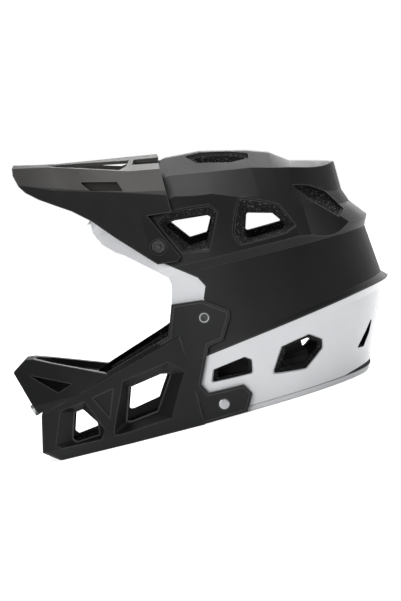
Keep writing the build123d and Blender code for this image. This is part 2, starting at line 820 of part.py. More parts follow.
visor_prism = side_prism(side_points(visor_outline_shares), 2 * shell_half_width)
with BuildPart() as visor:
    add(visor_form(0.0))
    add(visor_form(visor_thickness), mode=Mode.SUBTRACT)
    add(slot_cups.part)
    add(visor_prism, mode=Mode.INTERSECT)
    for shares in (gap_plan_shares, tail_plan_shares):
        for side in both_sides(plan_prism(shares)):
            add(side, mode=Mode.SUBTRACT)
    for side in both_sides(band_slot.part):
        add(side, mode=Mode.SUBTRACT)
    add(visor_arms.part)
    for angle in (0.0, visor_lower_limit / 2, visor_lower_limit):
        add(about_pivot(clear_body, -angle), mode=Mode.SUBTRACT)
    add(bores[0], mode=Mode.SUBTRACT)
    add(visor_seat, mode=Mode.SUBTRACT)
save(visor, "visor")

with BuildPart() as upper_shell:
    add(skin.part)
    add(brow_zone_grown, mode=Mode.SUBTRACT)
    add(lower_zone_grown, mode=Mode.SUBTRACT)
    for bore in bores:
        add(bore, mode=Mode.SUBTRACT)
save(upper_shell, "upper_shell")

with BuildPart() as brow_shell:
    add(skin.part)
    add(brow_zone, mode=Mode.INTERSECT)
    for bore in bores:
        add(bore, mode=Mode.SUBTRACT)
save(brow_shell, "brow_shell")

with BuildPart() as lower_shell:
    add(skin.part)
    add(lower_zone, mode=Mode.INTERSECT)
    for bore in bores:
        add(bore, mode=Mode.SUBTRACT)
save(lower_shell, "lower_shell")

# Screws. Each one has a head in a seat in its plate and a shank in the foam.


def screw_plane(shares, reach, side):
    x, z = side_point(*shares)
    return Plane(origin=(x, side * reach, z), x_dir=(1, 0, 0), z_dir=(0, side, 0))


sides = (("left", -1), ("right", 1))
for name, side in sides:
    reach = arm_reach
    with BuildPart() as visor_screw:
        with BuildSketch(screw_plane(visor_pivot_share, reach, side)):
            Circle(star_radius)
            with PolarLocations(star_radius * star_notch_reach_share, star_points):
                Circle(star_notch_radius, mode=Mode.SUBTRACT)
        extrude(amount=star_height)
        with BuildSketch(screw_plane(visor_pivot_share, reach, side)):
            Circle(screw_shank_radius)
        extrude(amount=-screw_depth)
    save(visor_screw, f"visor_screw_{name}")

    reach = reach_at(body_outer, *chin_screw_share) + plate_reach - head_sink
    with BuildPart() as chin_screw:
        with BuildSketch(screw_plane(chin_screw_share, reach, side)):
            Circle(chin_head_radius)
        extrude(amount=chin_head_height)
        with BuildSketch(screw_plane(chin_screw_share, reach + chin_head_height, side)):
            RegularPolygon(hex_across / 2, 6, major_radius=False)
        extrude(amount=-hex_depth, mode=Mode.SUBTRACT)
        with BuildSketch(screw_plane(chin_screw_share, reach, side)):
            Circle(screw_shank_radius)
        extrude(amount=-screw_depth)
    save(chin_screw, f"chin_screw_{name}")

    reach = reach_at(body_outer, *chin_stud_share) + plate_reach - head_sink
    with BuildPart() as chin_stud:
        with BuildSketch(screw_plane(chin_stud_share, reach, side)):
            Circle(stud_radius)
        extrude(amount=stud_height)
        with BuildSketch(screw_plane(chin_stud_share, reach, side)):
            Circle(screw_shank_radius)
        extrude(amount=-screw_depth)
    save(chin_stud, f"chin_stud_{name}")

# Mouth mesh, held in the front opening of the chin bar.
mesh_thickness = 2.0
mesh_pitch = 9.0
mesh_bar = 2.4
mesh_depth_share = 0.052
mesh_x = side_point(mesh_depth_share, 0)[0]
with BuildPart() as mouth_mesh:
    with BuildSketch(Plane(origin=(mesh_x, 0, mouth_z), x_dir=(0, -1, 0), z_dir=(-1, 0, 0))):
        RectangleRounded(
            mouth_width - 2 * fit_clearance, mouth_height - 2 * fit_clearance, corner - fit_clearance,
        )
        with GridLocations(mesh_pitch, mesh_pitch, int(mouth_width / mesh_pitch) - 1,
                           int(mouth_height / mesh_pitch)):
            Rectangle(mesh_pitch - mesh_bar, mesh_pitch - mesh_bar, mode=Mode.SUBTRACT)
    extrude(amount=mesh_thickness)
save(mouth_mesh, "mouth_mesh")

# Pads, each a plain closed solid on the wall of the head space.
pad_clearance = 0.4
pad_thickness = 8.0
cheek_inner_share = 0.46

pad_outer = head_form(pad_clearance)
pad_inner = head_form(pad_clearance + pad_thickness)


def block(x_shares, y_shares, z_shares):
    """A block given by its ends as shares of the length, half width and height."""
    x1, z1 = side_point(x_shares[0], z_shares[0])
    x2, z2 = side_point(x_shares[1], z_shares[1])
    y1, y2 = (share * shell_half_width for share in y_shares)
    return Pos((x1 + x2) / 2, (y1 + y2) / 2, (z1 + z2) / 2) * Box(x2 - x1, y2 - y1, z2 - z1)


pad_blocks = (
    ("crown_pad", (0.46, 0.80), (-0.19, 0.19), (0.70, 1.00)),
    ("brow_pad", (0.30, 0.45), (-0.52, 0.52), (0.715, 0.82)),
    ("side_pad_left", (0.50, 0.74), (-1.00, -0.30), (0.47, 0.595)),
    ("side_pad_right", (0.50, 0.74), (0.30, 1.00), (0.47, 0.595)),
    ("rear_pad", (0.84, 1.00), (-0.44, 0.44), (0.28, 0.56)),
)
for name, x_shares, y_shares, z_shares in pad_blocks:
    region = block(x_shares, y_shares, z_shares)
    with BuildPart() as pad:
        add(pad_outer)
        add(pad_inner, mode=Mode.SUBTRACT)
        add(region, mode=Mode.INTERSECT)
    save(pad, name)

cheek_x_shares = (0.458, 0.628)
cheek_z_shares = (0.045, 0.430)
for name, side in sides:
    y_shares = sorted((side * cheek_inner_share, side))
    region = block(cheek_x_shares, y_shares, cheek_z_shares)
    with BuildPart() as cheek_pad:
        add(pad_outer)
        add(region, mode=Mode.INTERSECT)
    save(cheek_pad, f"cheek_pad_{name}")

# Chin strap. It hangs as a loop from a rivet on each side of the head space.
strap_x_share = 0.710
strap_rivet_z = 84.0
strap_width = 18.0
strap_thickness = 2.0
strap_half_span = 66.0
strap_bottom = 14.0
strap_bend_z = 42.0
strap_bend_y = 42.0
rivet_radius = 3.0
rivet_head_radius = 6.0
rivet_head_height = 1.6
anchor_width = 16.0
buckle_length = 34.0
buckle_width = 25.0
buckle_height = 9.0
buckle_wall = 2.5
buckle_plug_share = 0.42
button_radius = 4.5
button_height = 2.0
button_travel = 1.5
strap_x = side_point(strap_x_share, 0)[0]


def ribbon(path, thickness, width):
    """A flat strap along a path in the cross plane, with mitred bends."""
    left = []
    right = []
    for index, (y, z) in enumerate(path):
        before = path[max(index - 1, 0)]
        after = path[min(index + 1, len(path) - 1)]
        first = math.atan2(z - before[1], y - before[0]) if index else None
        second = math.atan2(after[1] - z, after[0] - y) if index < len(path) - 1 else None
        first = second if first is None else first
        second = first if second is None else second
        middle = (first + second) / 2
        reach = thickness / 2 / math.cos((second - first) / 2)
        left.append((y - reach * math.sin(middle), z + reach * math.cos(middle)))
        right.append((y + reach * math.sin(middle), z - reach * math.cos(middle)))
    with BuildPart() as strap:
        with BuildSketch(Plane(origin=(strap_x, 0, 0), x_dir=(0, 1, 0), z_dir=(1, 0, 0))):
            with BuildLine():
                Polyline(*left, *reversed(right), close=True)
            make_face()
        extrude(amount=width / 2, both=True)
    return strap.part


def strap_path(side, end):
    return [
        (side * strap_half_span, strap_rivet_z + strap_width / 2),
        (side * strap_half_span, strap_bend_z),
        (side * strap_bend_y, strap_bottom),
        (end, strap_bottom),
    ]


def rivet_plane(side, y):
    return Plane(origin=(strap_x, side * y, strap_rivet_z), x_dir=(1, 0, 0), z_dir=(0, side, 0))


for name, side in sides:
    strap_face = strap_half_span + strap_thickness / 2
    with BuildPart() as strap_anchor:
        with BuildSketch(rivet_plane(side, strap_face + fit_clearance)):
            RectangleRounded(anchor_width, anchor_width, rivet_radius)
        extrude(amount=past)
        add(head, mode=Mode.INTERSECT)
        with BuildSketch(rivet_plane(side, strap_face + fit_clearance)):
            Circle(rivet_radius)
        extrude(amount=-strap_thickness - 2 * fit_clearance)
        with BuildSketch(rivet_plane(side, strap_face - strap_thickness - fit_clearance)):
            Circle(rivet_head_radius)
        extrude(amount=-rivet_head_height)
    save(strap_anchor, f"strap_anchor_{name}")

# The socket lies left of the middle, and the plug's tongue runs into it.
socket_end = -buckle_length / 2
plug_end = buckle_length / 2
for name, side, end in (("left", -1, socket_end), ("right", 1, plug_end)):
    with BuildPart() as strap_half:
        add(ribbon(strap_path(side, end), strap_thickness, strap_width))
        with BuildSketch(rivet_plane(side, strap_half_span - strap_thickness)):
            Circle(rivet_radius + fit_clearance)
        extrude(amount=2 * strap_thickness, mode=Mode.SUBTRACT)
    save(strap_half, f"strap_{name}")

tongue_width = buckle_width - 4 * buckle_wall
well_depth = buckle_height / 2 + button_height / 2 + button_travel + fit_clearance
tongue_height = buckle_height - 2 * buckle_wall
tongue_length = buckle_length * buckle_plug_share
joint_y = plug_end - tongue_length
button_y = (socket_end + joint_y) / 2 - tongue_length / 4
with BuildPart() as buckle_socket:
    with Locations((strap_x, (socket_end + joint_y) / 2, strap_bottom)):
        Box(buckle_width, joint_y - socket_end, buckle_height)
    fillet(buckle_socket.edges().filter_by(Axis.Y), buckle_wall / 2)
    with Locations((strap_x, joint_y, strap_bottom)):
        Box(
            tongue_width + 2 * fit_clearance, tongue_length, tongue_height + 2 * fit_clearance,
            mode=Mode.SUBTRACT,
        )
    with BuildSketch(Plane.XY.offset(strap_bottom - buckle_height)):
        with Locations((strap_x, button_y)):
            Circle(button_radius + fit_clearance)
    extrude(amount=well_depth, mode=Mode.SUBTRACT)
save(buckle_socket, "buckle_socket")

button_top = strap_bottom - buckle_height / 2
with BuildPart() as buckle_button:
    with BuildSketch(Plane.XY.offset(button_top - button_height / 2)):
        with Locations((strap_x, button_y)):
            Circle(button_radius)
    extrude(amount=button_height)
save(buckle_button, "buckle_button")

with BuildPart() as buckle_plug:
    with Locations((strap_x, (joint_y + plug_end + fit_clearance) / 2, strap_bottom)):
        Box(buckle_width, plug_end - joint_y - fit_clearance, buckle_height)
    fillet(buckle_plug.edges().filter_by(Axis.Y), buckle_wall / 2)
    with Locations((strap_x, joint_y, strap_bottom)):
        Box(tongue_width, tongue_length - 2 * fit_clearance, tongue_height)
save(buckle_plug, "buckle_plug")

# Keeper loop and comfort sleeve on the strap's sloping run.
keeper_wall = 1.6
keeper_length = 8.0
sleeve_wall = 3.0
sleeve_length_share = 0.62


def on_slope(side, share, length, wall):
    """A sleeve round the strap's sloping run, its middle at the given share of the run."""
    bend = (side * strap_half_span, strap_bend_z)
    foot = (side * strap_bend_y, strap_bottom)
    y = bend[0] + (foot[0] - bend[0]) * share
    z = bend[1] + (foot[1] - bend[1]) * share
    plane = Plane(
        origin=(strap_x, y, z), x_dir=(1, 0, 0), z_dir=(0, foot[0] - bend[0], foot[1] - bend[1]),
    )
    with BuildPart() as sleeve:
        with BuildSketch(plane):
            RectangleRounded(
                strap_width + 2 * wall + 2 * fit_clearance,
                strap_thickness + 2 * wall + 2 * fit_clearance,
                wall / 2,
            )
            Rectangle(
                strap_width + 2 * fit_clearance, strap_thickness + 2 * fit_clearance, mode=Mode.SUBTRACT,
            )
        extrude(amount=length / 2, both=True)
    return sleeve


run_length = math.hypot(strap_half_span - strap_bend_y, strap_bend_z - strap_bottom)
save(on_slope(1, 1 / 2, keeper_length, keeper_wall), "strap_keeper")
save(on_slope(-1, 1 / 2, run_length * sleeve_length_share, sleeve_wall), "strap_pad")
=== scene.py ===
# %% [markdown]
# A full-face downhill helmet in Blender.
# The CAD solids already hold the shape and size of the hard parts: the skin, the foam core, the
# chin bar and the visor. This file dresses them. It gives every hard part its finish, makes the
# pads, the webbing and the fasteners, whose solids are plainer than the real pieces, and sets up
# the camera and the light.

# %% Load the frame
import json
import math

import bmesh
import bpy
from mathutils import Matrix, Vector


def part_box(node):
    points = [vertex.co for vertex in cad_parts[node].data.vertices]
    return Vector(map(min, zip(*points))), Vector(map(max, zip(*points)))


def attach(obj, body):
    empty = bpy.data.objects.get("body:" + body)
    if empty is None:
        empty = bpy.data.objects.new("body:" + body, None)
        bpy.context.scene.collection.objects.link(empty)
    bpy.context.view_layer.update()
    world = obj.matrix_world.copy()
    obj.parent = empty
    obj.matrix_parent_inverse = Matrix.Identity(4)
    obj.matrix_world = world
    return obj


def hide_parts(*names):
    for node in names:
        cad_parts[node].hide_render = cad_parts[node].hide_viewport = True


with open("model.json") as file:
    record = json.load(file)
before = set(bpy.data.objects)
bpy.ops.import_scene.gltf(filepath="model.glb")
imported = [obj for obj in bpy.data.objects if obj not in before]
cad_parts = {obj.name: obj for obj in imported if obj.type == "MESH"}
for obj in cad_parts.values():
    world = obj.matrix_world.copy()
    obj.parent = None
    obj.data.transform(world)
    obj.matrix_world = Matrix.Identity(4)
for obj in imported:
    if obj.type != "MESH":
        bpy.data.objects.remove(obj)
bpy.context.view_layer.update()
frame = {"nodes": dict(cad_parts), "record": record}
nodes = frame["nodes"]

# %% [markdown]
# Shader graphs are easier to read as sums than as boxes and wires. One function adds any node:
# it writes the settings first, since some of them change the sockets, and feeds the sockets
# after. A small class wraps one output, and its operators add the Math nodes.

# %% A small language for shader maths


def feed(tree, node, sockets):
    """Link each named or numbered socket to its Value, or write a number or colour there."""
    for key, item in sockets.items():
        if isinstance(item, Value):
            tree.links.new(item.socket, node.inputs[key])
        else:
            node.inputs[key].default_value = item


def add_node(tree, kind, settings, sockets):
    """A new node, with its settings written before its sockets are fed."""
    node = tree.nodes.new(kind)
    for key, item in settings.items():
        setattr(node, key, item)
    feed(tree, node, sockets)
    return node


class Value:
    """One output of a node, with the sums that can be done on it."""

    def __init__(self, tree, node, output):
        self.tree = tree
        self.socket = node.outputs[output]

    def maths(self, operation, first, second=0.0):
        node = add_node(self.tree, "ShaderNodeMath", {"operation": operation}, {0: first, 1: second})
        return Value(self.tree, node, 0)

    def __add__(self, other):
        return self.maths("ADD", self, other)

    def __sub__(self, other):
        return self.maths("SUBTRACT", self, other)

    def __rsub__(self, other):
        return self.maths("SUBTRACT", other, self)

    def __mul__(self, other):
        return self.maths("MULTIPLY", self, other)

    __radd__ = __add__
    __rmul__ = __mul__

    def sine(self):
        return self.maths("SINE", self)

    def larger(self, other):
        return self.maths("MAXIMUM", self, other)

    def ramp(self, low, high):
        """0 below low, 1 above high, and smooth in between."""
        settings = {"interpolation_type": "SMOOTHSTEP"}
        sockets = {"Value": self, "From Min": low, "From Max": high}
        node = add_node(self.tree, "ShaderNodeMapRange", settings, sockets)
        return Value(self.tree, node, "Result")


# %% [markdown]
# A finish is a material that starts as Blender's plain one and gets its maps added. Every
# pattern here reads Object coordinates. They need no unwrapping, have no seam, and stay with the
# piece when it moves. The mix node has sockets for numbers and vectors too, so its colour
# sockets are found by their number.

# %% A finish, built up node by node
MIX_FIRST = 6
MIX_SECOND = 7
MIX_RESULT = 2
FOLD_SAMPLES = 6
FOLD_LOW = 0.01
FOLD_HIGH = 0.07


class Finish:
    """A material and the maps that go into it."""

    def __init__(self, name):
        self.material = bpy.data.materials.new(name)
        self.material.use_nodes = True
        self.tree = self.material.node_tree
        self.shader = self.tree.nodes["Principled BSDF"]

    def value(self, output, kind, settings, sockets):
        """One output of a new node."""
        return Value(self.tree, add_node(self.tree, kind, settings, sockets), output)

    def place(self):
        return self.value("Object", "ShaderNodeTexCoord", {}, {})

    def axes(self):
        parts = add_node(self.tree, "ShaderNodeSeparateXYZ", {}, {"Vector": self.place()})
        return [Value(self.tree, parts, axis) for axis in "XYZ"]

    def noise(self, scale, detail=2.0):
        sockets = {"Vector": self.place(), "Scale": scale, "Detail": detail}
        return self.value("Fac", "ShaderNodeTexNoise", {}, sockets)

    def cell_seams(self, scale):
        """How far each point lies from the border of its cell."""
        sockets = {"Vector": self.place(), "Scale": scale}
        return self.value("Distance", "ShaderNodeTexVoronoi", {"feature": "DISTANCE_TO_EDGE"}, sockets)

    def folds(self, reach):
        """1 along each fold, from how far a rounded normal turns away from the flat one."""
        rounded = self.value("Normal", "ShaderNodeBevel", {"samples": FOLD_SAMPLES}, {"Radius": reach})
        flat = self.value("Normal", "ShaderNodeNewGeometry", {}, {})
        settings = {"operation": "DOT_PRODUCT"}
        likeness = self.value("Value", "ShaderNodeVectorMath", settings, {0: rounded, 1: flat})
        return (1.0 - likeness).ramp(FOLD_LOW, FOLD_HIGH)

    def mix(self, share, first, second):
        sockets = {"Factor": share, MIX_FIRST: first, MIX_SECOND: second}
        return self.value(MIX_RESULT, "ShaderNodeMix", {"data_type": "RGBA"}, sockets)

    def set(self, sockets):
        feed(self.tree, self.shader, sockets)
        return self

    def bump(self, height, strength, distance):
        sockets = {"Height": height, "Strength": strength, "Distance": distance}
        return self.set({"Normal": self.value("Normal", "ShaderNodeBump", {}, sockets)})


def grey(level, warm=0.0):
    return (level + warm, level, level - warm, 1.0)


finishes = {}


def keep(slot, finish):
    """Store a material under the slot's name in the record."""
    finishes[slot] = finish.material
    print(slot, "has", len(finish.tree.nodes), "shader nodes")


# %% [markdown]
# The upper skin and the chin bar are moulded in matt black. Close up, such plastic has a fine
# spark-eroded grain, and broad patches that are a little shinier where hands have held it. The
# grain is far too fine to model, so it goes in the normal, and the patches in the roughness.
# Every fold is painted paler, a painted highlight where the edges would catch the light. A mask
# that finds the folds by itself follows every ridge and still fits when the shape changes.

# %% Matt black shell
GRAIN_SCALE = 2200.0
GRAIN_DEPTH = 0.0004
SHELL_GRAIN = 0.16
PATCH_SCALE = 14.0
PATCH_RANGE = (0.35, 0.70)
PATCH_SHINE = 0.06
EDGE_REACH = 0.0016
SHELL_EDGE_HIGHLIGHT = 0.8
PLASTIC_ROUGHNESS = 0.48
PLASTIC_SPECULAR = 0.20
BLACK = (0.0072, 0.0075, 0.0082, 1.0)
HANDLED_BLACK = (0.0100, 0.0103, 0.0110, 1.0)
EDGE_HIGHLIGHT_GREY = grey(0.080)


def matt_black():
    finish = Finish("matt_black_shell")
    patches = finish.noise(PATCH_SCALE, 3.0).ramp(*PATCH_RANGE)
    colour = finish.mix(patches, BLACK, HANDLED_BLACK)
    # Painted highlight: the folds are made paler, as if they caught the light.
    colour = finish.mix(finish.folds(EDGE_REACH) * SHELL_EDGE_HIGHLIGHT, colour, EDGE_HIGHLIGHT_GREY)
    finish.set({"Base Color": colour, "Roughness": PLASTIC_ROUGHNESS - patches * PATCH_SHINE})
    finish.set({"Specular IOR Level": PLASTIC_SPECULAR})
    return finish.bump(finish.noise(GRAIN_SCALE, 1.0), SHELL_GRAIN, GRAIN_DEPTH)


keep("black_shell", matt_black())

# %% [markdown]
# The brow band and the lower skin are a cool white under a clear coat. One glossy layer would
# look like porcelain. A softer paint with a thin sharp coat over it reads as sprayed plastic:
# the coat carries the reflection, and the paint keeps a faint ripple.

# %% Pale coated shell
DRIFT_SCALE = 22.0
DRIFT_RANGE = (0.3, 0.7)
RIPPLE_SCALE = 160.0
RIPPLE_DEPTH = 0.0005
RIPPLE_STRENGTH = 0.03
PAINT_ROUGHNESS = 0.24
PAINT_DRIFT = 0.10
COAT_WEIGHT = 0.35
COAT_ROUGHNESS = 0.12
COOL_WHITE = (0.76, 0.775, 0.80, 1.0)
CLEAN_WHITE = (0.80, 0.81, 0.83, 1.0)


def pale_coat():
    finish = Finish("pale_coated_shell")
    drift = finish.noise(DRIFT_SCALE)
    colour = finish.mix(drift.ramp(*DRIFT_RANGE), COOL_WHITE, CLEAN_WHITE)
    finish.set({"Base Color": colour, "Roughness": drift * PAINT_DRIFT + PAINT_ROUGHNESS})
    finish.set({"Coat Weight": COAT_WEIGHT, "Coat Roughness": COAT_ROUGHNESS})
    return finish.bump(finish.noise(RIPPLE_SCALE, 1.0), RIPPLE_STRENGTH, RIPPLE_DEPTH)


keep("pale_shell", pale_coat())

# %% [markdown]
# The core is expanded foam: dark beads pressed together, each with a thin dark seam round it,
# and pale specks here and there. The vents show it all round their edges. A cell pattern has
# just such seams, because each of its cells ends where the next one begins.

# %% Beaded foam
BEAD_SCALE = 330.0
BEAD_SEAM = (0.01, 0.12)
BEAD_DEPTH = 0.0006
BEAD_STRENGTH = 0.55
SPECK_SCALE = 620.0
SPECK_RANGE = (0.60, 0.66)
FOAM_ROUGHNESS = 0.86
SEAM_BLACK = grey(0.006)
BEAD_BLACK = grey(0.020)
SPECK_GREY = grey(0.11)


def beaded_foam():
    finish = Finish("beaded_foam")
    bead = finish.cell_seams(BEAD_SCALE).ramp(*BEAD_SEAM)
    speck = finish.noise(SPECK_SCALE, 1.0).ramp(*SPECK_RANGE)
    colour = finish.mix(speck, finish.mix(bead, SEAM_BLACK, BEAD_BLACK), SPECK_GREY)
    finish.set({"Base Color": colour, "Roughness": FOAM_ROUGHNESS})
    finish.set({"Specular IOR Level": PLASTIC_SPECULAR})
    return finish.bump(bead, BEAD_STRENGTH, BEAD_DEPTH)


keep("foam", beaded_foam())

# %% [markdown]
# The visor is a warm grey along the band beside the spine, and darker on the sheet that slopes
# down to the arms. Two materials would need the mesh split between them. The two colours meet at
# a fold, which is a straight line in side view, so the colour is switched instead by how far a
# point lies above that line. The band is drawn paler towards the crown, which is painted light,
# as if the band were lit more from above there. Its folds get the same painted highlight as the
# shell's.

# %% Visor sheet
FOLD_START_X = -0.120
FOLD_START_Z = 0.251
FOLD_SLOPE = -0.347
FOLD_BLUR = 0.0008
BAND_DARK_X = -0.135
BAND_PALE_X = -0.045
BAND_DRIFT = 0.15
BAND_SHINE = 0.08
SHEET_DRIFT_SCALE = 30.0
VISOR_EDGE_HIGHLIGHT = 0.7
VISOR_GRAIN = 0.12
BAND_DARK = grey(0.013, 0.001)
BAND_PALE = grey(0.066, 0.003)
SHEET_DARK = grey(0.008)
SHEET_PALE = grey(0.011)
VISOR_HIGHLIGHT_GREY = grey(0.095)


def visor_sheet():
    finish = Finish("visor_sheet")
    x, y, z = finish.axes()
    fold = (x - FOLD_START_X) * FOLD_SLOPE + FOLD_START_Z
    band = (z - fold).ramp(-FOLD_BLUR, FOLD_BLUR)
    drift = finish.noise(SHEET_DRIFT_SCALE).ramp(*DRIFT_RANGE)
    # Painted light: the band is drawn paler towards the crown, as if lit more from above there, with a
    # little random drift mixed in.
    lit_towards_crown = x.ramp(BAND_DARK_X, BAND_PALE_X)
    painted_light_and_drift = lit_towards_crown * (1.0 - BAND_DRIFT) + drift * BAND_DRIFT
    band_colour = finish.mix(painted_light_and_drift, BAND_DARK, BAND_PALE)
    colour = finish.mix(band, finish.mix(drift, SHEET_DARK, SHEET_PALE), band_colour)
    # Painted highlight: the folds are made paler, as if they caught the light.
    colour = finish.mix(finish.folds(EDGE_REACH) * VISOR_EDGE_HIGHLIGHT, colour, VISOR_HIGHLIGHT_GREY)
    finish.set({"Base Color": colour, "Roughness": PLASTIC_ROUGHNESS - band * BAND_SHINE})
    finish.set({"Specular IOR Level": PLASTIC_SPECULAR})
    return finish.bump(finish.noise(GRAIN_SCALE, 1.0), VISOR_GRAIN, GRAIN_DEPTH)


keep("visor_shell", visor_sheet())

# %% [markdown]
# The rim, the mouth mesh, the thumb screws and the buckle are plain moulded plastic or rubber.
# They differ in colour and shine, but each is blotchy in the large and grainy in the small, so
# one function makes them all. Rubber is the same again with coarser blotches and a deeper grain.

# %% Moulded plastic and rubber
MOULDED_DEPTH = 0.0003
PLASTIC_MAP = (90.0, 1500.0, 0.08)
RUBBER_MAP = (60.0, 900.0, 0.2)
RIM_DULL = (0.70, 0.71, 0.73, 1.0)
RIM_LIGHT = (0.76, 0.77, 0.79, 1.0)
RED_DARK = (0.36, 0.02, 0.018, 1.0)
RED_LIGHT = (0.45, 0.03, 0.025, 1.0)


def moulded(name, dark, light, roughness, surface=PLASTIC_MAP):
    """A surface is (scale of the blotches, scale of the grain, strength of the grain)."""
    blotches, grain, strength = surface
    finish = Finish(name)
    finish.set({"Base Color": finish.mix(finish.noise(blotches), dark, light), "Roughness": roughness})
    return finish.bump(finish.noise(grain, 1.0), strength, MOULDED_DEPTH)


keep("pale_rim", moulded("pale_rim", RIM_DULL, RIM_LIGHT, 0.40))
keep("rim_rubber", moulded("rim_rubber", grey(0.016), grey(0.026), 0.72, RUBBER_MAP))
keep("mesh", moulded("mesh_plastic", grey(0.020), grey(0.032), 0.55))
keep("dark_screw", moulded("dark_screw", grey(0.022), grey(0.034), 0.42))
keep("buckle", moulded("buckle_plastic", grey(0.020), grey(0.030), 0.40))
keep("button", moulded("button_plastic", RED_DARK, RED_LIGHT, 0.42))

# %% [markdown]
# The chin screws and studs are turned metal with a brushed face. Brushing is noise that is
# stretched along one direction, and a Mapping node stretches it: the pattern runs forty times
# finer up the face than across it.

# %% Brushed silver
BRUSH_STRETCH = (60.0, 60.0, 2400.0)
BRUSH_STRENGTH = 0.05
SILVER_ROUGHNESS = 0.30
STRIPE_ROUGHNESS = 0.18
SILVER_DARK = (0.30, 0.31, 0.32, 1.0)
SILVER_LIGHT = (0.44, 0.45, 0.46, 1.0)


def brushed():
    finish = Finish("brushed_silver")
    sockets = {"Vector": finish.place(), "Scale": BRUSH_STRETCH}
    stretched = finish.value("Vector", "ShaderNodeMapping", {}, sockets)
    sockets = {"Vector": stretched, "Scale": 1.0, "Detail": 2.0}
    stripe = finish.value("Fac", "ShaderNodeTexNoise", {}, sockets)
    colour = finish.mix(stripe, SILVER_DARK, SILVER_LIGHT)
    roughness = stripe * STRIPE_ROUGHNESS + SILVER_ROUGHNESS
    finish.set({"Base Color": colour, "Metallic": 1.0, "Roughness": roughness})
    return finish.bump(stripe, BRUSH_STRENGTH, MOULDED_DEPTH)


keep("silver_screw", brushed())

# %% [markdown]
# Pads are a brushed knit over foam, and the strap is a woven nylon. Threads could be modelled,
# but there are thousands of them. Two waves that cross at the size of the thread break the light
# up as cloth does, and a little sheen gives the soft edge of brushed fibre.

# %% Cloth and webbing
THREAD_DEPTH = 0.0006
THREAD_STRENGTH = 0.35
FUZZ_SCALE = 420.0
FUZZ_SHARE = 0.4
CLOTH_ROUGHNESS = 0.92
SHEEN_WEIGHT = 0.25
SHEEN_ROUGHNESS = 0.5
KNIT_PITCH = 0.0016
WEAVE_PITCH = 0.0024


def cloth(name, base, tip, pitch):
    finish = Finish(name)
    x, y, z = finish.axes()
    turn = 2.0 * math.pi / pitch
    wale = ((x + z) * turn).sine()
    course = ((y * 1.4 + z * 0.5) * turn).sine()
    thread = wale * course * 0.5 + 0.5
    fuzz = finish.noise(FUZZ_SCALE, 3.0)
    colour = finish.mix(thread * (1.0 - FUZZ_SHARE) + fuzz * FUZZ_SHARE, base, tip)
    finish.set({"Base Color": colour, "Roughness": CLOTH_ROUGHNESS})
    finish.set({"Sheen Weight": SHEEN_WEIGHT, "Sheen Roughness": SHEEN_ROUGHNESS})
    return finish.bump(thread * 0.7 + fuzz * 0.5, THREAD_STRENGTH, THREAD_DEPTH)


keep("pad_cloth", cloth("pad_cloth", grey(0.020), grey(0.060), KNIT_PITCH))
keep("webbing", cloth("webbing", grey(0.016), grey(0.050), WEAVE_PITCH))

# %% [markdown]
# Most pieces below are edited in the same few ways, so the steps get short names: to add a
# modifier with its settings, to apply them all, to shade smoothly, to put a finish on, and to
# select parts of a mesh by their place.

# %% Helpers for pieces


def modify(piece, label, kind, **settings):
    """One modifier, left live."""
    step = piece.modifiers.new(label, kind)
    for key, item in settings.items():
        setattr(step, key, item)


def only(piece):
    bpy.ops.object.select_all(action="DESELECT")
    piece.select_set(True)
    bpy.context.view_layer.objects.active = piece


def apply_all(piece):
    only(piece)
    for step in list(piece.modifiers):
        bpy.ops.object.modifier_apply(modifier=step.name)


def smooth(piece):
    for face in piece.data.polygons:
        face.use_smooth = True


def cover(piece, slot):
    """Give a piece one finish, in place of any that it has."""
    piece.data.materials.clear()
    piece.data.materials.append(finishes[slot])


def pick(piece, kind, wanted):
    """In edit mode: select the points or faces that are wanted, and nothing else."""
    bpy.ops.mesh.select_mode(type=kind)
    bpy.ops.mesh.select_all(action="DESELECT")
    shape = bmesh.from_edit_mesh(piece.data)
    for item in shape.verts if kind == "VERT" else shape.faces:
        if wanted(item):
            item.select_set(True)
    bmesh.update_edit_mesh(piece.data)


# %% [markdown]
# The hard parts are shown as the CAD made them, so they only need their finish. A moulded edge
# is never knife sharp, though. A weld joins the loose triangles, and a small bevel rounds each
# edge that turns by more than a set angle. The low ridges that are left are split, so that each
# stays a crisp line, and weighted normals keep the wide faces looking flat. All of it stays in
# live modifiers, so the solids themselves are never changed.

# %% Dress the hard parts
WELD_REACH = 0.00002
EDGE_SEGMENTS = 2
EDGE_ANGLE = math.radians(34.0)
CREASE_ANGLE = math.radians(9.0)
FACE_WEIGHT = 60
SMALL_EDGE = 0.0003
edge_sizes = {
    "upper_shell": 0.0009,
    "brow_shell": 0.0007,
    "lower_shell": 0.0007,
    "chin_bar": 0.0009,
    "visor": 0.0008,
    "eps_liner": 0.0016,
    "chin_liner": 0.0014,
    "base_trim": 0.0012,
}


def round_edges(piece, size):
    modify(piece, "weld", "WELD", merge_threshold=WELD_REACH)
    modify(
        piece, "edges", "BEVEL", width=size, segments=EDGE_SEGMENTS, limit_method="ANGLE",
        angle_limit=EDGE_ANGLE, use_clamp_overlap=True, miter_outer="MITER_ARC",
    )
    modify(piece, "creases", "EDGE_SPLIT", split_angle=CREASE_ANGLE, use_edge_sharp=False)
    modify(piece, "normals", "WEIGHTED_NORMAL", keep_sharp=False, weight=FACE_WEIGHT)


slot_of = {part["node"]: part["material_slot"] for part in frame["record"]["subparts"]}
soft_nodes = [name for name in nodes if slot_of[name] in ("pad_cloth", "webbing")]
for name, node in nodes.items():
    for slot in node.material_slots:
        slot.material = finishes[slot_of[name]]
    if name not in soft_nodes:
        round_edges(node, edge_sizes.get(name, SMALL_EDGE))
print("hard parts", len(nodes) - len(soft_nodes), "soft parts", soft_nodes)

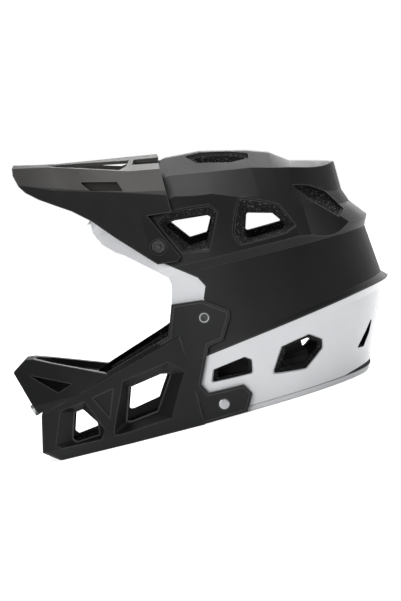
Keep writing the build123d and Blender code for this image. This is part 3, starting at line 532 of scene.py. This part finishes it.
# %% [markdown]
# A helmet pad is a slab of soft foam in a knitted cover, held to the core by hook tape. Its face
# swells between the seams and its rim is pinched. Sculpting each would be slow, so a pad starts
# as its CAD block, is shrunk a little, and then swells as cloth under pressure. The swelling is
# capped so that it can't leave the space that its solid holds.

# %% Swell a pad
PAD_CAP = 0.0026
PAD_STEPS = 14
CLOTH_QUALITY = 4
CLOTH_MASS = 0.2
CLOTH_PRESSURE = 4.0


def copy_node(name, label):
    """A merged copy of a CAD node's mesh, as a piece of its own."""
    mesh = nodes[name].data.copy()
    mesh.name = label
    piece = bpy.data.objects.new(label, mesh)
    bpy.context.scene.collection.objects.link(piece)
    shape = bmesh.new()
    shape.from_mesh(mesh)
    bmesh.ops.remove_doubles(shape, verts=shape.verts, dist=WELD_REACH)
    shape.to_mesh(mesh)
    shape.free()
    return piece


def swell(piece):
    """Cloth under pressure, with each point's travel capped."""
    start = [point.co.copy() for point in piece.data.vertices]
    skin = piece.modifiers.new("cloth", "CLOTH")
    skin.settings.quality = CLOTH_QUALITY
    skin.settings.mass = CLOTH_MASS
    skin.settings.use_pressure = True
    skin.settings.uniform_pressure_force = CLOTH_PRESSURE
    skin.settings.effector_weights.gravity = 0.0
    skin.collision_settings.use_collision = False
    skin.point_cache.frame_start = 1
    skin.point_cache.frame_end = PAD_STEPS
    for step in range(1, PAD_STEPS + 1):
        bpy.context.scene.frame_set(step)
    apply_all(piece)
    for point, rest in zip(piece.data.vertices, start):
        travel = point.co - rest
        if travel.length > PAD_CAP:
            point.co = rest + travel.normalized() * PAD_CAP
    bpy.context.scene.frame_set(1)


# %% [markdown]
# The cover is stitched through to the foam along a few straight lines, which leaves shallow
# channels. Each seam is a plane, and the points near it are pushed away from the head, deepest
# on the plane itself and fading out on both sides. Only the face towards the head is pressed.

# %% Press the seams in
SEAM_DEPTH = 0.0022
SEAM_WIDTH = 0.0024
SEAM_REACH = 2.5
FACES_AWAY = -0.3
HEAD_MIDDLE = Vector((0.045, 0.0, 0.110))


def press_seams(piece, seams):
    """Press each seam in. A seam is a plane, as (axis, place)."""
    for point in piece.data.vertices:
        outward = (point.co - HEAD_MIDDLE).normalized()
        if point.normal.dot(outward) > FACES_AWAY:
            continue
        for axis, place in seams:
            near = abs(point.co[axis] - place) / SEAM_WIDTH
            if near < SEAM_REACH:
                point.co += outward * SEAM_DEPTH * math.exp(-near * near)


def seams_across(name, axis, count):
    """Seam planes that share a pad into equal channels along one axis."""
    low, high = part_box(name)
    channel = (high[axis] - low[axis]) / (count + 1)
    return [(axis, low[axis] + channel * (step + 1)) for step in range(count)]


# %% [markdown]
# The solid of a pad has long thin triangles, which can't bulge. A voxel remesh turns it into an
# even net of small faces first. The pad is then shrunk, relaxed, swollen, divided once more for
# a smooth look, and stitched. The crown pad is long, so it has two seams along and two across.

# %% Sew every pad
X, Y, Z = range(3)
CROWN_SEAM = 0.008
PAD_VOXEL = 0.004
PAD_SHRINK = 0.0022
PAD_RELAX = 4
pad_seams = {
    "crown_pad": [(Y, -CROWN_SEAM), (Y, CROWN_SEAM)] + seams_across("crown_pad", X, 2),
    "brow_pad": seams_across("brow_pad", Y, 3),
    "side_pad_left": seams_across("side_pad_left", X, 2),
    "side_pad_right": seams_across("side_pad_right", X, 2),
    "rear_pad": seams_across("rear_pad", Y, 2),
    "cheek_pad_left": seams_across("cheek_pad_left", Z, 2),
    "cheek_pad_right": seams_across("cheek_pad_right", Z, 2),
}


def sew_pad(name, seams):
    piece = copy_node(name, "cloth_" + name)
    modify(piece, "voxels", "REMESH", mode="VOXEL", voxel_size=PAD_VOXEL)
    apply_all(piece)
    modify(piece, "shrink", "DISPLACE", mid_level=0.0, strength=-PAD_SHRINK, direction="NORMAL")
    modify(piece, "relax", "SMOOTH", iterations=PAD_RELAX)
    apply_all(piece)
    swell(piece)
    modify(piece, "divide", "SUBSURF", levels=1, render_levels=1)
    apply_all(piece)
    press_seams(piece, seams)
    smooth(piece)
    cover(piece, "pad_cloth")
    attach(piece, "helmet")
    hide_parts(name)
    return piece


for name, seams in pad_seams.items():
    pad = sew_pad(name, seams)
    print(pad.name, len(pad.data.vertices), "points,", len(seams), "seams")

# %% [markdown]
# The chin strap is flat nylon webbing. Each run of it goes down from its rivet and then turns in
# under the chin to the buckle. Its solid is a plain bent plate with sharp corners, and webbing
# doesn't bend like that, so the corners of the path are cut off in a few rounds.

# %% The way of the webbing
STRAP_X = 0.07497
STRAP_HALF_SPAN = 0.066
STRAP_TOP = 0.093
STRAP_BEND_Y = 0.042
STRAP_BEND_Z = 0.042
STRAP_BOTTOM = 0.014
BUCKLE_HALF = 0.017
EASE_ROUNDS = 3
CORNER_CUT = 0.25


def eased(points):
    """Corner cutting: each round replaces a corner by two points nearer its sides."""
    for turn in range(EASE_ROUNDS):
        cut = [points[0]]
        for first, second in zip(points, points[1:]):
            cut.append(first.lerp(second, CORNER_CUT))
            cut.append(first.lerp(second, 1.0 - CORNER_CUT))
        cut.append(points[-1])
        points = cut
    return points


def strap_path(side):
    """From the rivet down to the bend, and in to the buckle."""
    half_way_down = (STRAP_TOP + STRAP_BEND_Z) / 2
    half_way_in = (STRAP_BEND_Y + BUCKLE_HALF) / 2
    corners = [
        (STRAP_HALF_SPAN, STRAP_TOP),
        (STRAP_HALF_SPAN, half_way_down),
        (STRAP_HALF_SPAN, STRAP_BEND_Z),
        (STRAP_BEND_Y, STRAP_BOTTOM),
        (half_way_in, STRAP_BOTTOM),
        (BUCKLE_HALF, STRAP_BOTTOM),
    ]
    return eased([Vector((STRAP_X, side * across, up)) for across, up in corners])


way = strap_path(1)
run_length = sum((far - near).length for near, far in zip(way, way[1:]))
print("each run of webbing is", round(run_length * 1000), "mm long, in", len(way) - 1, "steps")

# %% [markdown]
# A curve with a flat profile could follow that way, but it may twist at the bend. Here one row of
# points is extruded from step to step instead, which keeps the strip square to the helmet. A
# thickness and a small rounding of its edges finish it.

# %% Webbing
STRAP_WIDTH = 0.018
STRAP_HALF_THICK = 0.00095
STRAP_EDGE = 0.0004
ROWS_ACROSS = 10


def sweep_strip(label, path):
    """One row of points, extruded from step to step along the path."""
    bpy.ops.object.select_all(action="DESELECT")
    bpy.ops.mesh.primitive_grid_add(x_subdivisions=ROWS_ACROSS, y_subdivisions=1, size=STRAP_WIDTH)
    piece = bpy.context.object
    piece.name = label
    piece.data.name = label
    bpy.ops.object.mode_set(mode="EDIT")
    pick(piece, "VERT", lambda point: point.co.y < 0.0)
    bpy.ops.mesh.delete(type="VERT")
    bpy.ops.mesh.select_all(action="SELECT")
    bpy.ops.transform.translate(value=path[0] - Vector((0.0, STRAP_WIDTH / 2, 0.0)))
    for near, far in zip(path, path[1:]):
        bpy.ops.mesh.extrude_region_move(TRANSFORM_OT_translate={"value": far - near})
    bpy.ops.mesh.select_all(action="SELECT")
    bpy.ops.mesh.normals_make_consistent(inside=False)
    bpy.ops.object.mode_set(mode="OBJECT")
    return piece


def webbing(label, side, node):
    piece = sweep_strip(label, strap_path(side))
    modify(piece, "thicken", "SOLIDIFY", thickness=2 * STRAP_HALF_THICK, offset=0.0)
    modify(piece, "edges", "BEVEL", width=STRAP_EDGE, segments=EDGE_SEGMENTS, limit_method="ANGLE")
    apply_all(piece)
    cover(piece, "webbing")
    smooth(piece)
    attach(piece, "chin_strap")
    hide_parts(node)
    return piece


for label, side, node in (("webbing_left", -1, "strap_left"), ("webbing_right", 1, "strap_right")):
    strip = webbing(label, side, node)
    print(strip.name, len(strip.data.vertices), "points")

# %% [markdown]
# A comfort sleeve of padded cloth goes round the left run of the strap. It is so small that a
# simulation would hardly show. An even net, softened and divided once, already has the rounded
# corners of a thin sleeve.

# %% Comfort sleeve
SLEEVE_VOXEL = 0.0012
SLEEVE_RELAX = 5
sleeve = copy_node("strap_pad", "cloth_strap_pad")
modify(sleeve, "voxels", "REMESH", mode="VOXEL", voxel_size=SLEEVE_VOXEL)
modify(sleeve, "relax", "SMOOTH", iterations=SLEEVE_RELAX)
modify(sleeve, "divide", "SUBSURF", levels=1, render_levels=1)
apply_all(sleeve)
smooth(sleeve)
cover(sleeve, "pad_cloth")
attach(sleeve, "chin_strap")
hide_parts("strap_pad")
print(sleeve.name, len(sleeve.data.vertices), "points")

# %% [markdown]
# The solids already say where every fastener sits and how far it reaches in. Reading that from
# their boxes is safer than typing it again, because a change of the solids then moves the drawn
# fasteners too.

# %% Where the fasteners go


def outer_spot(node):
    """The middle of a node's outer end, the way it faces, and the node's length."""
    low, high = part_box(node)
    side = math.copysign(1.0, low[1] + high[1])
    outer = high[1] if side > 0 else low[1]
    spot = Vector(((low[0] + high[0]) / 2, outer, (low[2] + high[2]) / 2))
    return spot, Vector((0.0, side, 0.0)), high[1] - low[1]


for node in ("visor_screw_left", "chin_screw_left", "chin_stud_left"):
    spot, out, length = outer_spot(node)
    print(node, "is", round(length * 1000, 1), "mm long")

# %% [markdown]
# Every fastener on the helmet is turned: it is round, and most have a short head and a thinner
# shank that goes into the shell. Each starts as a cylinder that lies along the way it faces. Its
# outer cap is inset and pushed in or out ring by ring, as a lathe would cut it, and its inner cap
# is inset once and extruded to make the shank.

# %% Turn a fastener
EVEN_SIDES = 48
SQUARE_ON = 0.9
SHANK_RADIUS = 0.0025


def leave_edit_mode():
    if bpy.context.mode != "OBJECT":
        bpy.ops.object.mode_set(mode="OBJECT")


def turned(label, middle, out, radius, head, rings, shank=0.0, sides=EVEN_SIDES):
    """A head that faces along out, with rings of (inset, rise) on its cap, left in edit mode."""
    leave_edit_mode()
    bpy.ops.object.select_all(action="DESELECT")
    bpy.ops.mesh.primitive_cylinder_add(
        vertices=sides, radius=radius, depth=head, location=middle - out * head / 2,
        rotation=out.to_track_quat("Z", "Y").to_euler(),
    )
    piece = bpy.context.object
    piece.name = label
    piece.data.name = label
    bpy.ops.object.transform_apply(location=True, rotation=True, scale=True)
    bpy.ops.object.mode_set(mode="EDIT")
    if shank:
        pick(piece, "FACE", lambda face: face.normal.dot(out) < -SQUARE_ON)
        bpy.ops.mesh.inset(thickness=radius - SHANK_RADIUS)
        bpy.ops.mesh.extrude_region_move(TRANSFORM_OT_translate={"value": out * -shank})
    pick(piece, "FACE", lambda face: face.normal.dot(out) > SQUARE_ON)
    for inset, rise in rings:
        bpy.ops.mesh.inset(thickness=inset, depth=rise)
    return piece


# %% [markdown]
# A socket or a notch is cut with a second cylinder. Sharp rims would look black and thin at this
# size, so each finished piece gets a tiny bevel, and smooth shading wherever it turns gently.

# %% Cut and finish a fastener
FASTENER_EDGE = 0.00014
FASTENER_CREASE = 3 * CREASE_ANGLE


def cut_away(piece, cutter):
    """Take the cutter's form out of the piece."""
    leave_edit_mode()
    modify(piece, "cut", "BOOLEAN", operation="DIFFERENCE", object=cutter)
    apply_all(piece)
    bpy.data.objects.remove(cutter)


def finish_turned(piece, slot, replaced=None):
    """Ease the edges, shade by angle and hang the piece on the helmet."""
    leave_edit_mode()
    modify(piece, "edges", "BEVEL", width=FASTENER_EDGE, segments=EDGE_SEGMENTS, limit_method="ANGLE")
    apply_all(piece)
    bpy.ops.object.shade_smooth_by_angle(angle=FASTENER_CREASE)
    cover(piece, slot)
    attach(piece, "helmet")
    if replaced:
        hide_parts(replaced)
    print(piece.name, len(piece.data.polygons), "faces")


# %% [markdown]
# The visor turns on a dark thumb screw with eight finger pockets round its hub. The pockets
# could be cut by eight cutters. The cap already has a face for each of its 48 sides, though, so
# in every group of six, four are sunk together and two are left as a spoke.

# %% Thumb screws
THUMB_RADIUS = 0.0062
THUMB_HEAD = 0.004
THUMB_RINGS = [(0.0004, 0.0002), (0.0006, 0.0), (0.0003, -0.0007), (0.0029, 0.0), (0.0003, 0.0007)]
POCKETS = 8
SPOKE_FACES = 2
POCKET_NEAR = 0.0022
POCKET_FAR = 0.0048
POCKET_RIM = 0.0002
POCKET_WALL = 0.00015
POCKET_DEPTH = 0.0007


def press_pockets(piece, middle, out):
    """Sink the pockets in the ring between two radii."""
    each = EVEN_SIDES // POCKETS

    def in_pocket(face):
        if face.normal.dot(out) < SQUARE_ON:
            return False
        reach = face.calc_center_median() - middle
        reach -= out * reach.dot(out)
        turn = math.atan2(reach.z, reach.x) / (2.0 * math.pi) + 1.0
        in_ring = POCKET_NEAR < reach.length < POCKET_FAR
        return in_ring and int(turn * EVEN_SIDES) % each >= SPOKE_FACES

    pick(piece, "FACE", in_pocket)
    bpy.ops.mesh.inset(thickness=POCKET_RIM)
    bpy.ops.mesh.inset(thickness=POCKET_WALL, depth=-POCKET_DEPTH)


def thumb_screw(side):
    node = "visor_screw_" + side
    spot, out, length = outer_spot(node)
    label = "thumb_screw_" + side
    screw = turned(label, spot, out, THUMB_RADIUS, THUMB_HEAD, THUMB_RINGS, length - THUMB_HEAD)
    press_pockets(screw, spot, out)
    finish_turned(screw, "dark_screw", node)


# %% [markdown]
# The chin bar hangs on a silver screw whose drive is a six-sided socket. Against the bright ring
# the socket is nearly black. That darkness is painted shade: the socket is a piece of its own with
# a dark finish, sunk in the screw, and a six-sided cutter takes out its middle.

# %% Ring screws
SCREW_RADIUS = 0.0045
SCREW_HEAD = 0.0026
SCREW_RINGS = [(0.0003, 0.0002), (0.0007, 0.0), (0.0002, -0.0022)]
SOCKET_SINK = 0.0004
SOCKET_RADIUS = 0.0032
SOCKET_LENGTH = 0.0015
SOCKET_RINGS = [(0.0003, 0.0001)]
HEX_SIDES = 6
HEX_RADIUS = 0.0021
HEX_LENGTH = 0.0021
CUTTER_RISE = 0.001


def ring_screw(side):
    node = "chin_screw_" + side
    spot, out, length = outer_spot(node)
    label = "ring_screw_" + side
    screw = turned(label, spot, out, SCREW_RADIUS, SCREW_HEAD, SCREW_RINGS, length - SCREW_HEAD)
    finish_turned(screw, "silver_screw", node)
    sunk = spot - out * SOCKET_SINK
    # Painted shade: a dark piece stands in for the shade inside the socket.
    socket = turned("painted_shade_socket_" + side, sunk, out, SOCKET_RADIUS, SOCKET_LENGTH, SOCKET_RINGS)
    raised = sunk + out * CUTTER_RISE
    hexagon = turned("hex_cutter", raised, out, HEX_RADIUS, HEX_LENGTH, [], sides=HEX_SIDES)
    cut_away(socket, hexagon)
    finish_turned(socket, "dark_screw")


# %% [markdown]
# Below the ring screw sits a plain silver stud with one small driver notch at the top of its
# rim. The notch is a thin round cutter whose middle lies on the rim, so it takes a half-round
# bite.

# %% Notched studs
STUD_RADIUS = 0.0047
STUD_HEAD = 0.0018
STUD_RINGS = [(0.0005, 0.0002), (0.0010, 0.0001)]
NOTCH_UP = 0.0046
NOTCH_SIDES = 12
NOTCH_RADIUS = 0.0007
NOTCH_LENGTH = 0.003


def notched_stud(side):
    node = "chin_stud_" + side
    spot, out, length = outer_spot(node)
    label = "notched_stud_" + side
    stud = turned(label, spot, out, STUD_RADIUS, STUD_HEAD, STUD_RINGS, length - STUD_HEAD)
    on_rim = spot + Vector((0.0, 0.0, NOTCH_UP)) + out * CUTTER_RISE
    notch = turned("notch_cutter", on_rim, out, NOTCH_RADIUS, NOTCH_LENGTH, [], sides=NOTCH_SIDES)
    cut_away(stud, notch)
    finish_turned(stud, "silver_screw", node)


# %% [markdown]
# Both sides of the helmet carry the same three fasteners, so one loop makes them. A small silver
# stud closes the seam at the front of the chin. It has no solid, and faces forwards and a little
# down, square to the slope of the chin there.

# %% All the fasteners
NOSE_SPOT = Vector((-0.1712, 0.0, 0.0478))
NOSE_OUT = Vector((-0.96, 0.0, -0.28)).normalized()
NOSE_RADIUS = 0.0056
NOSE_LENGTH = 0.0060
NOSE_RINGS = [(0.0006, 0.0004), (0.0012, 0.0), (0.0004, -0.0004)]
for side in ("left", "right"):
    thumb_screw(side)
    ring_screw(side)
    notched_stud(side)
nose = turned("chin_nose_stud", NOSE_SPOT, NOSE_OUT, NOSE_RADIUS, NOSE_LENGTH, NOSE_RINGS)
finish_turned(nose, "silver_screw")

# %% [markdown]
# The photograph was taken from straight beside the helmet and a few degrees above it, and the
# helmet was pitched by about sixteen degrees. Here the helmet stands level, so the camera rolls
# instead. A long lens from four metres keeps the perspective as flat as the photograph's.

# %% Camera
CAMERA_ROLL = math.radians(16.2)
CAMERA_RISE = math.radians(3.5)
CAMERA_AIM = Vector((0.0054, 0.0, 0.1028))
CAMERA_AWAY = 4.0
LENS = 259.7
SENSOR_WIDTH = 36.0
SEES_TO = 50.0

right = Vector((math.cos(CAMERA_ROLL), 0.0, -math.sin(CAMERA_ROLL)))
level_up = Vector((math.sin(CAMERA_ROLL), 0.0, math.cos(CAMERA_ROLL)))
up = level_up * math.cos(CAMERA_RISE) + Vector((0.0, math.sin(CAMERA_RISE), 0.0))
back = right.cross(up)

lens = bpy.data.cameras.new("camera")
lens.lens = LENS
lens.sensor_width = SENSOR_WIDTH
lens.sensor_fit = "AUTO"
lens.clip_end = SEES_TO
camera = bpy.data.objects.new("camera", lens)
bpy.context.scene.collection.objects.link(camera)
turn = Matrix((right, up, back)).transposed()
camera.matrix_world = Matrix.Translation(CAMERA_AIM + back * CAMERA_AWAY) @ turn.to_4x4()
bpy.context.scene.camera = camera
print("camera", [round(part, 3) for part in camera.matrix_world.translation])

# %% [markdown]
# The photograph has a plain white ground. More light would wash out the helmet too, so the floor
# glows only to the camera, to reflections and to clear pieces. It lights nothing, and still
# takes the soft shadow under the rim.

# %% Floor
FLOOR_SIZE = 12.0
FLOOR_SHADE = 0.80
FLOOR_GLOW = 0.80


def seen_by(tree, *kinds):
    """1 where a ray is one of these kinds, as Light Path names them."""
    path = add_node(tree, "ShaderNodeLightPath", {}, {})
    seen = Value(tree, path, kinds[0])
    for kind in kinds[1:]:
        seen = seen.larger(Value(tree, path, kind))
    return seen


def white_floor():
    finish = Finish("ground")
    seen = seen_by(finish.tree, "Is Camera Ray", "Is Glossy Ray", "Is Transmission Ray")
    glow = finish.mix(seen, grey(0.0), grey(FLOOR_GLOW))
    finish.set({"Base Color": grey(FLOOR_SHADE), "Roughness": 0.9, "Specular IOR Level": 0.0})
    return finish.set({"Emission Color": glow, "Emission Strength": 1.0})


bpy.ops.object.select_all(action="DESELECT")
bpy.ops.mesh.primitive_plane_add(size=FLOOR_SIZE, location=(0.0, 0.0, 0.0))
floor = bpy.context.object
floor.name = "floor"
floor.data.materials.append(white_floor().material)
print("floor", FLOOR_SIZE, "metres across")

# %% [markdown]
# The world does two things. What it shows the camera is pure white, and what it gives the helmet
# is a weak light from all round, which fills the shadows. A Mix Shader picks one or the other by
# the kind of ray.

# %% World
WHITE = grey(1.0)
SHOWN_STRENGTH = 1.0
FILL_STRENGTH = 0.25

world = bpy.data.worlds.new("studio")
bpy.context.scene.world = world
world.use_nodes = True
sky = world.node_tree
fill = sky.nodes["Background"]
feed(sky, fill, {"Color": WHITE, "Strength": FILL_STRENGTH})
shown = add_node(sky, "ShaderNodeBackground", {}, {"Color": WHITE, "Strength": SHOWN_STRENGTH})
seen = seen_by(sky, "Is Camera Ray", "Is Transmission Ray")
sockets = {"Fac": seen, 1: Value(sky, fill, 0), 2: Value(sky, shown, 0)}
choose = add_node(sky, "ShaderNodeMixShader", {}, sockets)
feed(sky, sky.nodes["World Output"], {"Surface": Value(sky, choose, 0)})
print("world has", len(sky.nodes), "nodes")

# %% [markdown]
# Black plastic shows mostly what it reflects, so the lamps are large soft panels. One overhead
# and a strip beyond the crest draw the pale streaks along the ridges. A panel at the camera's
# side lights what faces it, and two weaker ones reach the back and the far side.

# %% Lamps


def lamp(name, place, aim, size, power):
    light = bpy.data.lights.new(name, "AREA")
    light.shape = "RECTANGLE"
    light.size, light.size_y = size
    light.energy = power
    holder = bpy.data.objects.new(name, light)
    bpy.context.scene.collection.objects.link(holder)
    holder.location = place
    holder.rotation_euler = (Vector(aim) - Vector(place)).to_track_quat("-Z", "Y").to_euler()
    print(name, power, "watts")


lamp("top_soft", (0.05, 0.15, 1.45), (0.0, 0.0, 0.12), (1.3, 0.7), 16.0)
lamp("crest_strip", (-0.1, 1.5, 1.45), (0.0, 0.0, 0.18), (1.8, 0.5), 8.0)
lamp("side_soft", (-0.9, -2.1, 0.9), (0.0, 0.0, 0.12), (1.5, 1.1), 20.0)
lamp("back_strip", (1.3, 0.7, 0.9), (0.0, 0.0, 0.15), (1.2, 0.3), 5.0)
lamp("far_soft", (0.6, 2.2, 0.8), (0.0, 0.0, 0.12), (1.2, 0.9), 12.0)
bpy.context.scene.view_settings.view_transform = "Standard"
